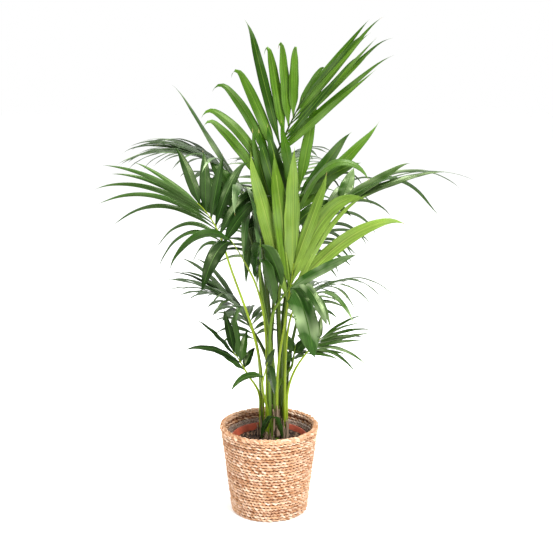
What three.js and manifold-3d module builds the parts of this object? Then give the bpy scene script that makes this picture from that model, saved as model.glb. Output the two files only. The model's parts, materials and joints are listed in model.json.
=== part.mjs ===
// A potted kentia palm: seven seedlings in one grow pot, which stands in a woven seagrass basket.
// Millimetres, +Z up. The origin is the centre of the basket's flat underside, and -Y is the front.
// Each seedling is a short stem of clasping sheaths. Its fronds stand on it, each as two pieces:
// the bare stalk (petiole), and the blade, which is the rib with its leaflets fused on.
import * as THREE from "three";
import { mergeVertices } from "three/addons/utils/BufferGeometryUtils.js";
import Module from "manifold-3d";

const wasm = await Module();
wasm.setup();

// Clearance that separate pieces keep where they meet.
const GAP = 0.3;
const UP = new THREE.Vector3(0, 0, 1);
// Where the first corner of a stalk's or a rib's section points: no stalk or rib runs along it.
const TUBE_SIDE = new THREE.Vector3(1, 0.37, 0.11);

// The basket's foot has a rounded edge, and its rim is a roll that stands proud of the wall.
const BASKET = {
  height: 227, topRadius: 125, footRadius: 97, wall: 12, floor: 9, edge: 5, rim: 8, rimProud: 1.5, facets: 36,
};
const LINER = { wall: 1, lip: 22, clear: 0.5 };
const POT = {
  rimRadius: 95, bodyTopRadius: 90, footRadius: 70, wall: 2.2, rimHeight: 14, top: 194, chamfer: 1,
  facets: 30,
};
const SOIL = { top: 184, edgeDrop: 4, plateau: 62, clear: 0.5 };
// A stem's radius at shares of its height, as a share of the radius that its seedling names.
const STEM = { sides: 12, profile: [[0, 0.96], [0.2, 1.08], [0.6, 0.96], [1, 0.86]] };
// A stalk's seat is this far off the axis of its stem. rise and pull are shares of the stalk's reach
// over which it keeps upright at its foot and in line with the rib at its collar.
const STALK = { seat: 3.9, baseRadius: 2.5, collarRadius: 2.1, sides: 5, steps: 9, rise: 0.42, pull: 0.3 };
const RIB = { tipRadius: 1.2, sides: 4, steps: 4 };
// A leaflet is widest at this share of its length, and starts at this share of its width. Its
// thickness is a share of its length. bend says how late it falls over, and roll is in degrees.
const LEAFLET = {
  widestAt: 0.38, baseShare: 0.14, taper: 0.65, thickness: 0.012, leastThickness: 1.6, bend: 1.3, roll: 18,
};
// The first and the last leaflet stand at these shares of the rib, and the sides alternate.
const PLACES = { first: 0.03, last: 0.97, leftStagger: 0.25, rightStagger: 0.6 };
// How far the seeded rule lets leaflets differ: degrees, or shares of the named size.
const VARIETY = { spread: 7, lift: 14, length: 0.14, width: 0.16, droop: 0.4, twist: 30 };
// Turns in degrees of spread and lift that a leaflet tries, in this order, to pass its neighbours.
const NUDGES = [
  [0, 0], [5, 0], [-5, 0], [0, 9], [0, -9], [9, 6], [-9, -6], [0, 18], [0, -18], [14, 0], [-14, 0],
];

// The seedlings: where each stem stands, its radius at the soil, and its height over the soil.
const SEEDLINGS = {
  left: { x: -20, y: 14, radius: 7.5, height: 91 },
  front: { x: -3, y: -14, radius: 7.5, height: 58 },
  middle: { x: 17, y: -6, radius: 7.5, height: 121 },
  right: { x: 40, y: 2, radius: 7.5, height: 91 },
  back: { x: 4, y: 30, radius: 7.5, height: 146 },
  rear: { x: 30, y: 34, radius: 7.5, height: 116 },
  sprout: { x: 7, y: -33, radius: 4, height: 22, alone: true },
};

// The fronds. collar and tip are the ends of the rib, and bow is how far its middle swings out.
// face is where the blade's upper side looks: degrees round from +X, then degrees up.
// Each side has count leaflets. Numbers in a list run from the collar to the tip of the rib.
// spread and lift are a leaflet's angles from the rib and out of the blade's plane, roll turns its
// upper side skywards, and droop is how strongly it falls over towards its tip.
const FRONDS = [
  {
    name: "crown", seedling: "back", seat: 330, seed: 1, pull: 0.12, colour: 0x5f9a32,
    collar: [-15, 30, 815], tip: [82, 20, 1035], bow: [-8, 0, 0], face: [-100, 0], width: 21, lift: 10,
    left: {
      count: 9, length: [240, 255, 255, 250, 320, 250, 230, 185, 115],
      spread: [54, 50, 46, 42, 41, 31, 29, 27, -6],
      droop: [0.5, 0.7, 0.65, 0.5, -0.05, 0.1, 0.1, 0.15, 0.1], width: [26, 28, 28, 28, 26, 30, 28, 28, 20],
    },
    right: {
      count: 5, start: 0.3, length: [365, 365, 340, 320, 255], spread: [32, 33, 28, 20, 20],
      droop: [0.1, 0, 0, 0, 0], lift: 35, width: 30, roll: -25,
    },
  },
  {
    name: "young", seedling: "middle", seat: 300, seed: 2, colour: 0xa5c855,
    collar: [40, -30, 505], tip: [60, -35, 645], bow: [0, 0, 0], face: [-90, 0], width: 36, lift: 5,
    left: { count: 3, start: 0.25, length: [400, 345, 310], spread: [24, 12, 11], droop: 0.05 },
    right: {
      count: 4, length: [370, 360, 290, 250], spread: [12, 21, 13, -2], droop: [0.75, 0.9, 0.95, 0],
      width: [12, 24, 34, 26],
    },
  },
  {
    name: "upright", seedling: "rear", seat: 270, seed: 8, colour: 0x3f7a2b,
    collar: [35, 10, 635], tip: [75, 10, 830], bow: [0, 0, 0], face: [-90, 0], width: 35, lift: 5,
    left: { count: 4, length: [315, 295, 245, 190], spread: [24, 28, 26, 15], droop: 0.05 },
    right: {
      count: 6, start: 0.3, length: [210, 310, 290, 220, 200, 225], spread: [30, 10, 32, 20, 38, -5],
      lift: [-30, 50, 0, 10, 20, -25], droop: [1.5, 1.2, 0.1, 0.1, 0.3, 0.05],
      width: [30, 30, 33, 33, 33, 26],
    },
  },
  {
    name: "front_left", seedling: "left", seat: 345, seed: 3, colour: 0x3a6b2c,
    collar: [-102, -60, 675], tip: [-166, -85, 798], bow: [10, 0, 23], face: [-75, 15], width: 18, lift: 10,
    left: {
      count: 9, length: [130, 250, 240, 295, 320, 310, 260, 250, 180],
      spread: [50, 48, 46, 42, 37, 32, 27, 18, 4],
      droop: [2.6, 2.2, 1.8, 1.2, 1.1, 0.9, 0.6, 0.5, 0.3], lift: -60, roll: 65,
    },
    right: {
      count: 6, length: [185, 215, 185, 150, 155, 155], spread: [51, 52, 47, 45, 38, 33], lift: -10,
      droop: [0.9, 1.1, 0.9, 0.3, 0.7, 0.4], width: [23, 25, 25, 22, 24, 22],
    },
  },
  {
    name: "back_left", seedling: "back", seat: 150, seed: 4, colour: 0x4c6b45,
    collar: [-20, 60, 730], tip: [-190, 90, 893], bow: [0, 0, 72], face: [60, 70], width: 22, lift: 5,
    left: {
      count: 10, length: [200, 225, 215, 205, 215, 225, 230, 225, 215, 200],
      spread: [125, 95, 70, 52, 44, 38, 31, 25, 18, 12], droop: [2.2, 2, 1.4, 1.2, 1.1, 1, 0.9],
      width: [30, 28, 24, 20, 20, 20], lift: [-30, 0, 5, 5, 5],
    },
    right: {
      count: 9, length: [400, 220, 230, 230, 230, 210], spread: [8, 55, 45, 35, 24, 10],
      droop: [0, 1.3, 1.2, 1.1, 1, 0.9],
    },
  },
  {
    name: "right", seedling: "right", seat: 155, seed: 9, colour: 0x37632f,
    collar: [130, 0, 750], tip: [190, 6, 800], bow: [0, 0, 6], face: [-110, 50], width: 22, lift: 10,
    left: {
      count: 3, length: [165, 215, 95], spread: [30, -6, 40], droop: [1.5, 0.1, 0.1], width: [20, 20, 30],
    },
    right: {
      count: 4, length: [375, 290, 375, 360], spread: [-6, 11, 7, 5], droop: [1.9, 0.35, 0.85, 1.15],
      lift: [40, -30, 20, 0], width: [14, 20, 14, 24], roll: 30,
    },
  },
  {
    name: "back_right", seedling: "rear", seat: 30, seed: 10, colour: 0x47633f,
    collar: [58, 62, 610], tip: [115, 88, 740], bow: [0, 0, 12], face: [100, 50], width: 13, lift: 5,
    left: {
      count: 6, length: [200, 220, 230, 260, 280, 280], spread: [50, 50, 46, 40, 30, 12],
      droop: [1.8, 1.7, 1.6, 1.5, 1.4, 1.2],
    },
    right: { count: 5, length: [180, 200, 200], spread: [60, 40, 15], droop: [1.5, 1.5, 1.4] },
  },
  {
    name: "mid_right", seedling: "right", seat: 250, seed: 11, pull: 0.15, colour: 0x3a6636,
    collar: [68, 5, 530], tip: [142, 15, 580], bow: [0, 0, 8], face: [100, 75], width: 16, lift: 5,
    left: { count: 4, length: [150, 170, 175, 160], spread: [50, 38, 25, 8], droop: [1.8, 1.7, 1.4, 1.3] },
    right: {
      count: 3, length: [200, 190, 230], spread: [50, 32, 12], droop: [1.9, 1.9, 1.8], width: [22, 16, 18],
    },
  },
  {
    name: "front_middle", seedling: "front", seat: 0, seed: 12, pull: 0.15, colour: 0x2f6a35,
    collar: [16, -52, 540], tip: [74, -72, 618], bow: [0, 0, 10], face: [-70, 60], width: 24, lift: 0,
    left: { count: 1, start: 0.1, length: 200, spread: -20, droop: 0.25, width: 20 },
    right: {
      count: 2, start: 0.35, length: [182, 135], spread: [22, 38], droop: [5, 2], width: [50, 20],
      lift: [-12, 10], bend: 0.6,
    },
  },
  {
    name: "low_front_left", seedling: "front", seat: 178, seed: 13, colour: 0x3c7a33,
    collar: [-45, -45, 625], tip: [-90, -68, 708], bow: [0, 0, 6], face: [-60, 60], width: 26, lift: 0,
    left: { count: 1, start: 0.8, length: 165, spread: 38, droop: 2.7, width: 33, bend: 0.8 },
    right: { count: 1, start: 0.8, length: 235, spread: -20, droop: 1.8, width: 22, bend: 1 },
  },
  {
    name: "inner_left", seedling: "front", seat: 89, seed: 26, colour: 0x2f5c2c,
    collar: [-30, -2, 650], tip: [-83, 8, 822], bow: [0, 0, 10], face: [-100, 20], width: 25, lift: 5,
    left: { count: 3, start: 0.35, length: [150, 140, 110], spread: [32, 24, 12], droop: [0.6, 0.5, 0.4] },
    right: {
      count: 4, length: [160, 110, 105, 80], spread: [20, 50, 24, -8], lift: [-2, -10, -20, -20],
      droop: [0.5, 0.4, 0.3, 0.3],
    },
  },
  {
    name: "front_hanging", seedling: "middle", seat: 180, seed: 21, colour: 0x2f7034,
    collar: [-22, -42, 630], tip: [-20, -60, 708], bow: [0, 0, 0], face: [-90, 60], width: 28, lift: 0,
    left: { count: 1, start: 0.7, length: 92, spread: 60, lift: 70, droop: 3.2, width: 36, bend: 0.6 },
    right: { count: 2, length: [118, 125], spread: [52, 66], lift: [50, 20], droop: 3.4, bend: 0.6 },
  },
  {
    name: "mid_left", seedling: "back", seat: 240, seed: 14, colour: 0x45603f,
    collar: [-50, 30, 475], tip: [-110, 45, 540], bow: [0, 0, 20], face: [60, 60], width: 18, lift: 5,
    left: { count: 5, length: [150, 190, 190], spread: [35, 20, 5], droop: [1.5, 0.8, 0.6] },
    right: { count: 6, length: [110, 130, 170], spread: [45, 35, 10], droop: [1.5, 1.3, 0.9] },
  },
  {
    name: "low_left", seedling: "left", seat: 225, seed: 15, colour: 0x3a6a35,
    collar: [-56, -20, 365], tip: [-90, -30, 425], bow: [0, 0, 5], face: [-70, 50], width: 22, lift: 5,
    left: { count: 3, length: [120, 170, 150], spread: [20, 22, 8], droop: [0.5, 0.6, 0.4] },
    right: { count: 4, length: [70, 100, 120], spread: [60, 40, 14], droop: [0.7, 0.5, 0.4] },
  },
  {
    name: "low_front", seedling: "front", seat: 268, seed: 16, colour: 0x3a7733,
    collar: [-15, -50, 355], tip: [-4, -62, 405], bow: [0, 0, 0], face: [-90, 40], width: 27, lift: 0,
    left: { count: 2, length: [100, 65], spread: [75, -5], lift: [20, 0], droop: [2, 0.2] },
    right: { count: 1, start: 0.7, length: 85, spread: 70, lift: 45, droop: 3, bend: 0.6 },
  },
  {
    name: "low_right", seedling: "right", seat: 340, seed: 17, colour: 0x355f33,
    collar: [88, 10, 400], tip: [130, 15, 445], bow: [0, 0, 4], face: [-100, 50], width: 20, lift: 5,
    left: { count: 3, length: [65, 65, 65], spread: [120, 75, 45], droop: [1.2, 0.6, 0.1] },
    right: {
      count: 5, length: [110, 175, 160, 150, 120], spread: [50, 42, 35, 28, 8],
      droop: [0.5, 1.1, 0.2, 0.8, 0.7], width: [14, 14, 20, 14, 14],
    },
  },
  {
    name: "low_middle", seedling: "middle", seat: 70, seed: 18, colour: 0x34603a,
    collar: [58, 22, 375], tip: [66, 26, 425], bow: [0, 0, 0], face: [-90, 20], width: 26, lift: 5,
    left: { count: 2, length: [50, 60], spread: [60, 40], droop: 0.3 },
    right: { count: 1, length: 65, spread: 20, droop: 0.3 },
  },
  {
    name: "sprout", seedling: "sprout", seat: 0, seed: 19, colour: 0x3b6f37,
    collar: [9, -34, 246], tip: [11, -42, 264], bow: [0, 0, 0], face: [-90, 30], width: 18, lift: 0,
    left: { count: 1, length: 62, spread: 60, lift: 30, droop: 2.4, bend: 0.7 },
    right: { count: 1, length: 66, spread: 55, lift: 40, droop: 2.6, bend: 0.7 },
  },
  {
    name: "high_back", seedling: "rear", seat: 150, seed: 22, colour: 0x41693a,
    collar: [20, 150, 745], tip: [45, 330, 865], bow: [0, 0, 60], face: [80, 80], width: 20, lift: 10,
    left: { count: 8, length: [190, 230, 200], spread: [60, 42, 12], droop: [1.3, 1.1, 0.8] },
    right: { count: 8, length: [190, 230, 200], spread: [60, 42, 12], droop: [1.3, 1.1, 0.8] },
  },
  {
    name: "mid_back", seedling: "back", seat: 60, seed: 23, colour: 0x41693a,
    collar: [-15, 150, 600], tip: [-40, 270, 690], bow: [0, 0, 40], face: [100, 80], width: 20, lift: 10,
    left: { count: 6, length: [150, 180, 170], spread: [60, 42, 12], droop: [1.5, 1.3, 1] },
    right: { count: 6, length: [150, 180, 170], spread: [60, 42, 12], droop: [1.5, 1.3, 1] },
  },
  {
    name: "low_back_left", seedling: "left", seat: 105, seed: 24, colour: 0x41693a,
    collar: [-35, 105, 410], tip: [-60, 170, 465], bow: [0, 0, 20], face: [110, 75], width: 20, lift: 10,
    left: { count: 3, length: [110, 130, 120], spread: [60, 42, 12], droop: [1.3, 1.1, 1] },
    right: { count: 3, length: [110, 130, 120], spread: [60, 42, 12], droop: [1.3, 1.1, 1] },
  },
  {
    name: "low_back_right", seedling: "right", seat: 70, seed: 25, colour: 0x41693a,
    collar: [70, 110, 460], tip: [105, 195, 530], bow: [0, 0, 30], face: [70, 75], width: 20, lift: 10,
    left: { count: 4, length: [130, 150, 140], spread: [60, 42, 12], droop: [1.5, 1.2, 1] },
    right: { count: 4, length: [130, 150, 140], spread: [60, 42, 12], droop: [1.5, 1.2, 1] },
  },
];

const vec = (p) => new THREE.Vector3(...p);
const radians = THREE.MathUtils.degToRad;
const along = (origin, direction, distance) => origin.clone().addScaledVector(direction, distance);

// A direction from degrees round from +X and degrees up.
function lookingTo([around, above]) {
  const level = Math.cos(radians(above));
  return vec([
    Math.cos(radians(around)) * level,
    Math.sin(radians(around)) * level,
    Math.sin(radians(above)),
  ]);
}

// A fixed pseudo-random number from 0 to 1 for a frond's seed and a draw's number.
function draw(seed, number) {
  const wave = Math.sin(seed * 12.9898 + number * 78.233) * 43758.5453;
  return wave - Math.floor(wave);
}

// The value at share t of the way along a list that runs evenly from the first number to the last.
function valueAt(list, t) {
  if (!Array.isArray(list)) return list;
  const place = t * (list.length - 1);
  const index = Math.min(Math.floor(place), list.length - 2);
  return index < 0 ? list[0] : THREE.MathUtils.lerp(list[index], list[index + 1], place - index);
}

function meshOf(name, geometry, colour, roughness = 0.6) {
  const mesh = new THREE.Mesh(
    geometry,
    new THREE.MeshStandardMaterial({ color: colour, roughness, metalness: 0, flatShading: true }),
  );
  mesh.name = name;
  return mesh;
}

// A closed skin over rings of points, with a fan of triangles over the first and the last ring.
// A ring of one point closes the skin in a tip.
function skinOver(rings) {
  const positions = rings.flat().flatMap((p) => [p.x, p.y, p.z]);
  const faces = [];
  let first = 0;
  for (let k = 0; k + 1 < rings.length; k++) {
    const here = rings[k].length;
    const there = rings[k + 1].length;
    const next = first + here;
    for (let i = 0; i < Math.max(here, there); i++) {
      const a = first + (i % here);
      const b = first + ((i + 1) % here);
      const c = next + ((i + 1) % there);
      const d = next + (i % there);
      if (here > 1) faces.push([a, b, c]);
      if (there > 1) faces.push([a, c, d]);
    }
    first = next;
  }
  const fan = (start, count, flip) => {
    for (let i = 1; i + 1 < count; i++) {
      faces.push(flip ? [start, start + i + 1, start + i] : [start, start + i, start + i + 1]);
    }
  };
  fan(0, rings[0].length, true);
  fan(first, rings[rings.length - 1].length, false);
  const geometry = new THREE.BufferGeometry();
  geometry.setAttribute("position", new THREE.Float32BufferAttribute(positions, 3));
  geometry.setIndex(faces.flat());
  return geometry;
}

function solidOf(geometry) {
  const merged = mergeVertices(geometry, 1e-4);
  return new wasm.Manifold(
    new wasm.Mesh({
      numProp: 3,
      vertProperties: merged.attributes.position.array,
      triVerts: new Uint32Array(merged.index.array),
    }),
  );
}

function geometryOf(solid) {
  const { numProp, vertProperties, triVerts } = solid.getMesh();
  const geometry = new THREE.BufferGeometry();
  const positions = [];
  for (let i = 0; i < vertProperties.length; i += numProp) {
    positions.push(vertProperties[i], vertProperties[i + 1], vertProperties[i + 2]);
  }
  geometry.setAttribute("position", new THREE.Float32BufferAttribute(positions, 3));
  geometry.setIndex([...triVerts]);
  return geometry;
}

// A ring of points round a centre, square to the direction, its first point towards the side vector.
function ringRound(centre, direction, side, radius, sides) {
  const across = side.clone().addScaledVector(direction, -side.dot(direction)).normalize();
  const other = new THREE.Vector3().crossVectors(direction, across);
  return Array.from({ length: sides }, (_, i) => {
    const angle = (2 * Math.PI * i) / sides;
    return along(along(centre, across, radius * Math.cos(angle)), other, radius * Math.sin(angle));
  });
}

// A tapered tube along a curve, with flat ends.
function taperedTube(curve, steps, sides, startRadius, endRadius) {
  const rings = Array.from({ length: steps + 1 }, (_, k) => {
    const t = k / steps;
    const radius = THREE.MathUtils.lerp(startRadius, endRadius, t);
    return ringRound(curve.getPoint(t), curve.getTangent(t).normalize(), TUBE_SIDE, radius, sides);
  });
  return skinOver(rings);
}

// The line that a frond's rib follows, from its collar to its tip.
function ribOf(frond) {
  const collar = vec(frond.collar);
  const tip = vec(frond.tip);
  const middle = collar.clone().lerp(tip, 0.5).add(vec(frond.bow));
  return new THREE.QuadraticBezierCurve3(collar, middle, tip);
}

// Where a frond stands on its stem: a little off the axis, on the side that its seat angle names.
function seatOf(frond) {
  const stem = SEEDLINGS[frond.seedling];
  const offset = stem.alone ? 0 : STALK.seat;
  return vec([
    stem.x + offset * Math.cos(radians(frond.seat)),
    stem.y + offset * Math.sin(radians(frond.seat)),
    SOIL.top + GAP + stem.height + GAP,
  ]);
}

function stalkOf(frond) {
  const rib = ribOf(frond);
  const heading = rib.getTangent(0).normalize();
  const seat = seatOf(frond);
  const end = along(rib.v0, heading, -GAP);
  const reach = seat.distanceTo(end);
  return new THREE.CubicBezierCurve3(
    seat,
    along(seat, UP, reach * STALK.rise),
    along(end, heading, -reach * (frond.pull ?? STALK.pull)),
    end,
  );
}

// A leaflet's half width at share s of its length, as a share of its greatest.
function outlineAt(s) {
  const { widestAt, baseShare, taper } = LEAFLET;
  if (s < widestAt) return baseShare + (1 - baseShare) * Math.sin((Math.PI / 2) * (s / widestAt));
  return Math.cos((Math.PI / 2) * ((s - widestAt) / (1 - widestAt))) ** taper;
}

// The named sizes of every leaflet of a frond, in order: the left side's first, then the right's.
function leafletsOf(frond) {
  const list = [];
  for (const [sign, side] of [[1, "left"], [-1, "right"]]) {
    const named = { ...frond, ...frond[side] };
    const stagger = sign > 0 ? PLACES.leftStagger : PLACES.rightStagger;
    const start = named.start ?? 0;
    for (let i = 0; i < named.count; i++) {
      const evenly = THREE.MathUtils.lerp(PLACES.first, PLACES.last, (i + stagger) / named.count);
      const place = named.count > 1 ? evenly : 0.5;
      const share = i / Math.max(1, named.count - 1);
      const vary = (k) => draw(frond.seed, 10 * i + 3 * sign + k) - 0.5;
      list.push({
        sign,
        place: start + (1 - start) * place,
        spread: valueAt(named.spread, share) + VARIETY.spread * vary(0),
        lift: valueAt(named.lift, share) + VARIETY.lift * vary(1),
        roll: valueAt(named.roll ?? LEAFLET.roll, share),
        length: valueAt(named.length, share) * (1 + VARIETY.length * vary(2)),
        width: valueAt(named.width, share) * (1 + VARIETY.width * vary(3)),
        droop: valueAt(named.droop, share) * (1 + VARIETY.droop * vary(4)),
        twist: VARIETY.twist * vary(5),
        bend: named.bend ?? LEAFLET.bend,
      });
    }
  }
  return list;
}

// Where a leaflet starts on the rib, its first direction, and the direction of its width.
function rootOf(frond, rib, leaflet, [moreSpread, moreLift]) {
  const origin = rib.getPoint(leaflet.place);
  const heading = rib.getTangent(leaflet.place).normalize();
  const face = lookingTo(frond.face);
  const normal = along(face, heading, -face.dot(heading)).normalize();
  const outwards = new THREE.Vector3().crossVectors(normal, heading).multiplyScalar(leaflet.sign);
  const spread = radians(leaflet.spread + moreSpread);
  const lift = radians(leaflet.lift + moreLift);
  const sideways = outwards.clone().multiplyScalar(Math.cos(lift)).addScaledVector(normal, Math.sin(lift));
  const direction = heading
    .clone()
    .multiplyScalar(Math.cos(spread))
    .addScaledVector(sideways, Math.sin(spread));
  const upper = normal.clone().multiplyScalar(Math.cos(lift)).addScaledVector(outwards, -Math.sin(lift));
  const width = new THREE.Vector3().crossVectors(direction, upper).normalize();
  width.applyAxisAngle(direction, radians(leaflet.sign * leaflet.roll));
  return { origin, direction, width };
}

// The middle line of a leaflet, which falls over towards its tip, with its width at each step.
function midlineOf(root, leaflet, steps) {
  const line = [{ point: root.origin.clone(), width: root.width.clone(), direction: root.direction.clone() }];
  let point = root.origin.clone();
  let width = root.width.clone();
  for (let k = 0; k < steps; k++) {
    const s = (k + 0.5) / steps;
    const fall = leaflet.droop * s ** leaflet.bend;
    const direction = along(root.direction, UP, -fall).normalize();
    point = along(point, direction, leaflet.length / steps);
    width = along(width, direction, -width.dot(direction)).normalize();
    const turned = width.clone().applyAxisAngle(direction, (radians(leaflet.twist) * (k + 1)) / steps);
    line.push({ point: point.clone(), width: turned, direction });
  }
  return line;
}

// A leaflet as a closed blade with a ridge along its upper side. grow makes it thicker all over.
function bladeOf(root, leaflet, grow = 0, from = 0) {
  const steps = leaflet.droop > 1 ? 7 : leaflet.droop > 0.3 ? 6 : 5;
  const line = midlineOf(root, leaflet, steps);
  const ridge = Math.max(LEAFLET.thickness * leaflet.length, LEAFLET.leastThickness);
  const rings = line.slice(from).map(({ point, width, direction }, k) => {
    const s = (k + from) / steps;
    if (s === 1) return [along(point, direction, grow)];
    const upper = new THREE.Vector3().crossVectors(width, direction).normalize();
    const half = (leaflet.width / 2) * outlineAt(s) + grow;
    const height = ridge * Math.min(1, 0.45 + outlineAt(s)) + grow;
    const low = along(point, upper, -height / 2 - grow);
    return [along(low, width, -half), along(point, upper, height / 2), along(low, width, half)];
  });
  return solidOf(skinOver(rings));
}

function boxOf(solid) {
  const { min, max } = solid.boundingBox();
  return new THREE.Box3(vec(min), vec(max));
}

// A solid of the plant, with the frond that owns it.
function claim(claims, owner, solid) {
  claims.push({ owner, solid, box: boxOf(solid) });
}

function isClear(claims, test, skip) {
  const box = boxOf(test);
  return claims.every(
    (c) => skip(c) || !c.box.intersectsBox(box) || c.solid.intersect(test).isEmpty(),
  );
}

// A solid of revolution about the pot's axis. The profile runs up the outside and down the inside.
function turned(profile, segments) {
  const points = profile.map(([radius, height]) => new THREE.Vector2(radius, height));
  const geometry = new THREE.LatheGeometry(points, segments);
  geometry.rotateX(Math.PI / 2);
  geometry.deleteAttribute("normal");
  geometry.deleteAttribute("uv");
  return mergeVertices(geometry, 1e-4);
}

const basketOutside = (z) => THREE.MathUtils.lerp(BASKET.footRadius, BASKET.topRadius, z / BASKET.height);
const basketInside = (z) => basketOutside(z) - BASKET.wall;

function makeBasket() {
  const { height, rim, rimProud, edge, floor } = BASKET;
  const rimMiddle = height - rim;
  const rimCentre = basketOutside(rimMiddle) - BASKET.wall / 2 + rimProud;
  const roll = [-50, -5, 40, 90, 140, 185, 230].map((angle) => [
    rimCentre + rim * Math.cos(radians(angle)),
    rimMiddle + rim * Math.sin(radians(angle)),
  ]);
  return meshOf(
    "basket",
    turned(
      [
        [0, 0],
        [BASKET.footRadius - edge, 0],
        [BASKET.footRadius - 1, edge * 0.4],
        [basketOutside(edge * 1.4), edge * 1.4],
        [basketOutside(rimMiddle - rim), rimMiddle - rim],
        ...roll,
        [basketInside(rimMiddle - rim), rimMiddle - rim],
        [basketInside(floor), floor],
        [0, floor],
      ],
      BASKET.facets,
    ),
    0xd7a573,
    0.85,
  );
}

// A clear film bag inside the basket, cupped round the grow pot.
function makeLiner() {
  const bottom = BASKET.floor + GAP;
  const lip = BASKET.height - LINER.lip;
  const outside = (z) => basketInside(z) - LINER.clear;
  const floorEdge = bottom + LINER.wall;
  return meshOf(
    "liner",
    turned(
      [
        [0, bottom],
        [outside(bottom) - LINER.wall, bottom],
        [outside(floorEdge), floorEdge],
        [outside(lip), lip],
        [outside(lip) - LINER.wall, lip],
        [outside(floorEdge) - LINER.wall - 1, floorEdge],
        [0, floorEdge],
      ],
      BASKET.facets,
    ),
    0xd6d8d4,
    0.25,
  );
}

const potFloor = BASKET.floor + GAP + LINER.wall + GAP;
const potOutside = (z) =>
  THREE.MathUtils.lerp(POT.footRadius, POT.bodyTopRadius, (z - potFloor) / (POT.top - potFloor));

function makeGrowPot() {
  const { rimRadius, rimHeight, top, wall, footRadius, chamfer } = POT;
  return meshOf(
    "grow_pot",
    turned(
      [
        [0, potFloor],
        [footRadius - 2 * chamfer, potFloor],
        [footRadius, potFloor + 2 * chamfer],
        [potOutside(top - rimHeight), top - rimHeight],
        [rimRadius - chamfer, top - rimHeight],
        [rimRadius, top - chamfer],
        [rimRadius - chamfer, top],
        [rimRadius - wall, top],
        [potOutside(top - rimHeight) - wall, top - rimHeight],
        [footRadius - wall, potFloor + wall],
        [0, potFloor + wall],
      ],
      POT.facets,
    ),
    0xb45a3f,
    0.55,
  );
}

function makeSoil() {
  const bottom = potFloor + POT.wall + GAP;
  const level = SOIL.top - SOIL.edgeDrop;
  const inside = (z) => potOutside(z) - POT.wall - SOIL.clear;
  return meshOf(
    "soil",
    turned(
      [
        [0, bottom],
        [POT.footRadius - POT.wall - SOIL.clear - POT.chamfer, bottom],
        [inside(level), level],
        [SOIL.plateau, SOIL.top],
        [0, SOIL.top],
      ],
      POT.facets,
    ),
    0x3c2d26,
    0.95,
  );
}

// A stem of clasping sheaths: a little swollen near the soil, with flat ends.
function makeStem(name, { x, y, radius, height }) {
  const foot = SOIL.top + GAP;
  const rings = STEM.profile.map(([share, size]) =>
    ringRound(vec([x, y, foot + share * height]), UP, vec([1, 0, 0]), radius * size, STEM.sides),
  );
  return skinOver(rings);
}

const palm = new THREE.Group();
palm.add(makeBasket(), makeLiner(), makeGrowPot(), makeSoil());

const claims = [];
for (const part of palm.children) claim(claims, part.name, solidOf(part.geometry));

for (const [name, seedling] of Object.entries(SEEDLINGS)) {
  const geometry = makeStem(name, seedling);
  claim(claims, "stem_" + name, solidOf(geometry));
  palm.add(meshOf("stem_" + name, geometry, 0x8fae3c));
}

const ribs = new Map();
for (const frond of FRONDS) {
  const { baseRadius, collarRadius, sides, steps } = STALK;
  const stalk = taperedTube(stalkOf(frond), steps, sides, baseRadius, collarRadius);
  claim(claims, frond.name + "_stalk", solidOf(stalk));
  palm.add(meshOf(frond.name + "_stalk", stalk, 0xb4c83e));
  const rib = solidOf(taperedTube(ribOf(frond), RIB.steps, RIB.sides, collarRadius, RIB.tipRadius));
  ribs.set(frond, rib);
  claim(claims, frond.name, rib);
}

for (const frond of FRONDS) {
  const rib = ribOf(frond);
  const blades = [];
  const siblings = [];
  for (const leaflet of leafletsOf(frond)) {
    const nudge = NUDGES.find((turn) => {
      const root = rootOf(frond, rib, leaflet, turn);
      const clearOfOthers = isClear(claims, bladeOf(root, leaflet, GAP), (c) => c.owner === frond.name);
      return clearOfOthers && isClear(siblings, bladeOf(root, leaflet, GAP, 1), () => false);
    });
    if (!nudge) continue;
    const root = rootOf(frond, rib, leaflet, nudge);
    blades.push(bladeOf(root, leaflet));
    claim(siblings, frond.name, bladeOf(root, leaflet, 0, 1));
  }
  for (const blade of blades) claim(claims, frond.name, blade);
  const fused = blades.reduce((whole, blade) => whole.add(blade), ribs.get(frond));
  palm.add(meshOf(frond.name + "_blade", geometryOf(fused), frond.colour));
}

export default palm;
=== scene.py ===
"""The looks of a potted kentia palm: a clump of seedlings in a grow pot that stands in a seagrass basket.

Each frond is grown again by the rule that its solids follow, with finer leaflets. Sizes are in millimetres
until a mesh is made. The origin is the centre of the basket's flat underside, +Z is up, -Y the front."""

import json
from math import cos, floor, hypot, pi, radians, sin, sqrt, tan, tau
from types import SimpleNamespace as Sizes

import bpy
import numpy as np
from mathutils import Matrix, Vector, noise
from mathutils.bvhtree import BVHTree

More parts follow.
